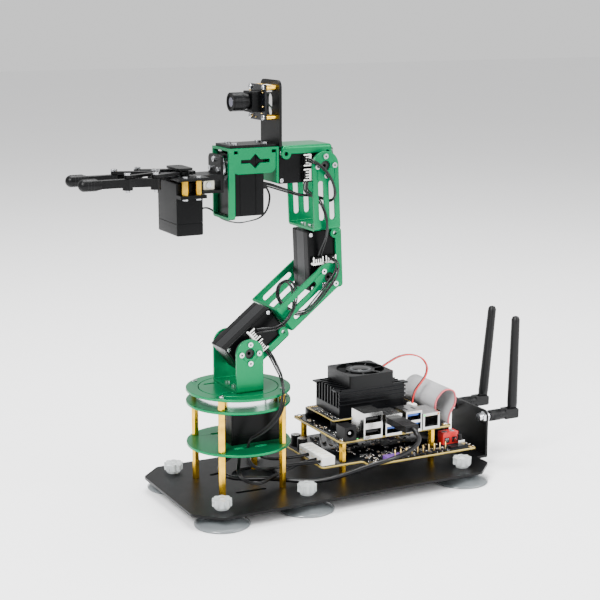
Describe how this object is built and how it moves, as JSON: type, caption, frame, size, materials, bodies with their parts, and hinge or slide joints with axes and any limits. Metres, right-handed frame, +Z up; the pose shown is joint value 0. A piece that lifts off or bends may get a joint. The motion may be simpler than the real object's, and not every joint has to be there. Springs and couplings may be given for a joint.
{
  "type": "desktop robot arm",
  "caption": "Desktop robot arm kit with servo joints, truss brackets, a two-finger gripper, a camera and its control boards on a suction-foot base plate",
  "frame": {"origin": "The yaw axis at bench level, on the plane of the suction cup rims", "axes": "+Z up; +X from the arm towards the control boards; +Y away from the side that the ports open on"},
  "size_m": [0.3683, 0.1318, 0.312],
  "materials": {
    "green_metal": "anodised satin green sheet",
    "black_metal": "powder coated black sheet",
    "steel": "zinc plated, fine",
    "brass": "machined",
    "aluminium": "black anodised",
    "servo_plastic": "moulded, fine texture",
    "white_plastic": "nylon",
    "knob_plastic": "milky translucent",
    "cup_rubber": "smoky clear",
    "board": "solder mask",
    "antenna_rubber": "smooth",
    "cable": "soft insulation"
  },
  "bodies": {
    "base": {"antenna_bracket": "black_metal", "antenna_elbows": "antenna_rubber", "ball_bearing": "steel", "base_hardware": "steel", "base_leads": "cable", "base_plate": "black_metal", "board_ports": "steel", "brass_standoffs": "brass", "cable_plugs": "servo_plastic", "computer_boards": "board", "cup_knobs": "knob_plastic", "expansion_board": "board", "expansion_parts": "white_plastic", "fan_cable": "cable", "fan_frame": "servo_plastic", "fixed_discs": "green_metal", "heatsink": "aluminium", "ribbon_cable": "cable", "suction_cups": "cup_rubber", "usb_cable": "cable", "yaw_lead": "cable", "yaw_servo": "servo_plastic"},
    "turntable": {"rotor_disc": "green_metal", "turntable_hardware": "steel", "shoulder_bracket": "green_metal", "shoulder_lead": "cable"},
    "upper_arm": {"shoulder_servo": "servo_plastic", "shoulder_cradle": "green_metal", "upper_arm_frame": "green_metal", "elbow_hardware": "steel", "elbow_lead": "cable"},
    "forearm": {"elbow_servo": "servo_plastic", "elbow_cradle": "green_metal", "forearm_frame": "green_metal", "wrist_hardware": "steel", "wrist_lead": "cable"},
    "wrist": {"wrist_servo": "servo_plastic", "wrist_cradle": "green_metal", "roll_servo": "servo_plastic", "roll_frame": "green_metal", "camera_bracket": "black_metal", "camera_board": "board", "camera_lens": "servo_plastic", "roll_lead": "cable", "camera_lead": "cable", "gripper_lead": "cable"},
    "hand": {"hand_bracket": "black_metal", "grip_servo": "servo_plastic", "gripper_plate": "black_metal", "hand_hardware": "steel"},
    "near_crank": {"near_gear_arm": "black_metal"},
    "far_crank": {"far_gear_arm": "black_metal"},
    "near_rocker": {"near_link": "black_metal"},
    "far_rocker": {"far_link": "black_metal"},
    "near_jaw": {"near_finger": "black_metal"},
    "far_jaw": {"far_finger": "black_metal"},
    "fan": {"fan_rotor": "servo_plastic"},
    "near_mast": {"near_antenna": "antenna_rubber"},
    "far_mast": {"far_antenna": "antenna_rubber"},
    "button": {"button_cap": "servo_plastic"}
  },
  "joints": [
    {"name": "yaw", "type": "hinge", "parent": "base", "child": "turntable", "pos_m": [0, 0, 0.086], "axis": [0, 0, 1], "range_deg": [-90, 90], "deforming": ["yaw_lead"]},
    {"name": "shoulder", "type": "hinge", "parent": "turntable", "child": "upper_arm", "pos_m": [0, 0, 0.11617], "axis": [0, 1, 0], "range_deg": [-90, 35], "deforming": ["shoulder_lead"]},
    {"name": "elbow", "type": "hinge", "parent": "upper_arm", "child": "forearm", "pos_m": [0.06529, 0, 0.16718], "axis": [0, 1, 0], "range_deg": [-50, 85], "deforming": ["elbow_lead"]},
    {"name": "wrist_pitch", "type": "hinge", "parent": "forearm", "child": "wrist", "pos_m": [0.06175, 0, 0.24995], "axis": [0, -1, 0], "range_deg": [-90, 40], "deforming": ["wrist_lead", "roll_lead"]},
    {"name": "roll", "type": "hinge", "parent": "wrist", "child": "hand", "pos_m": [-0.0126, 0, 0.25], "axis": [1, 0, 0], "range_deg": [-90, 90], "deforming": ["gripper_lead"]},
    {"name": "gripper", "type": "hinge", "parent": "hand", "child": "near_crank", "pos_m": [-0.043, -0.007, 0.2495], "axis": [0, 0, 1], "range_deg": [-16, 40]},
    {"name": "far_gear", "type": "hinge", "parent": "hand", "child": "far_crank", "pos_m": [-0.043, 0.007, 0.2495], "axis": [0, 0, 1], "range_deg": [-41, 41]},
    {"name": "near_idler", "type": "hinge", "parent": "hand", "child": "near_rocker", "pos_m": [-0.062, -0.0028, 0.2495], "axis": [0, 0, 1], "range_deg": [-41, 41]},
    {"name": "far_idler", "type": "hinge", "parent": "hand", "child": "far_rocker", "pos_m": [-0.062, 0.0028, 0.2495], "axis": [0, 0, 1], "range_deg": [-41, 41]},
    {"name": "near_finger_pin", "type": "hinge", "parent": "near_crank", "child": "near_jaw", "pos_m": [-0.06896, -0.01749, 0.2455], "axis": [0, 0, 1], "range_deg": [-41, 41]},
    {"name": "far_finger_pin", "type": "hinge", "parent": "far_crank", "child": "far_jaw", "pos_m": [-0.06896, 0.01749, 0.2455], "axis": [0, 0, 1], "range_deg": [-41, 41]},
    {"name": "fan_spin", "type": "hinge", "parent": "base", "child": "fan", "pos_m": [0.119, 0.0257, 0.075], "axis": [0, 0, 1], "continuous": true},
    {"name": "near_antenna_tilt", "type": "hinge", "parent": "base", "child": "near_mast", "pos_m": [0.234, -0.021, 0.0405], "axis": [0, 1, 0], "range_deg": [0, 80]},
    {"name": "far_antenna_tilt", "type": "hinge", "parent": "base", "child": "far_mast", "pos_m": [0.234, 0.021, 0.0405], "axis": [0, 1, 0], "range_deg": [-5, 75]},
    {"name": "power_button", "type": "slide", "parent": "base", "child": "button", "axis": [0, 0, 1], "range_m": [-0.0006, 0], "stiffness_N_per_m": 300}
  ],
  "couplings": [
    {"joint": "far_gear", "follows": "gripper", "ratio": -1},
    {"joint": "near_idler", "follows": "gripper", "ratio": 1},
    {"joint": "far_idler", "follows": "gripper", "ratio": -1},
    {"joint": "near_finger_pin", "follows": "gripper", "ratio": -1},
    {"joint": "far_finger_pin", "follows": "gripper", "ratio": 1}
  ]
}
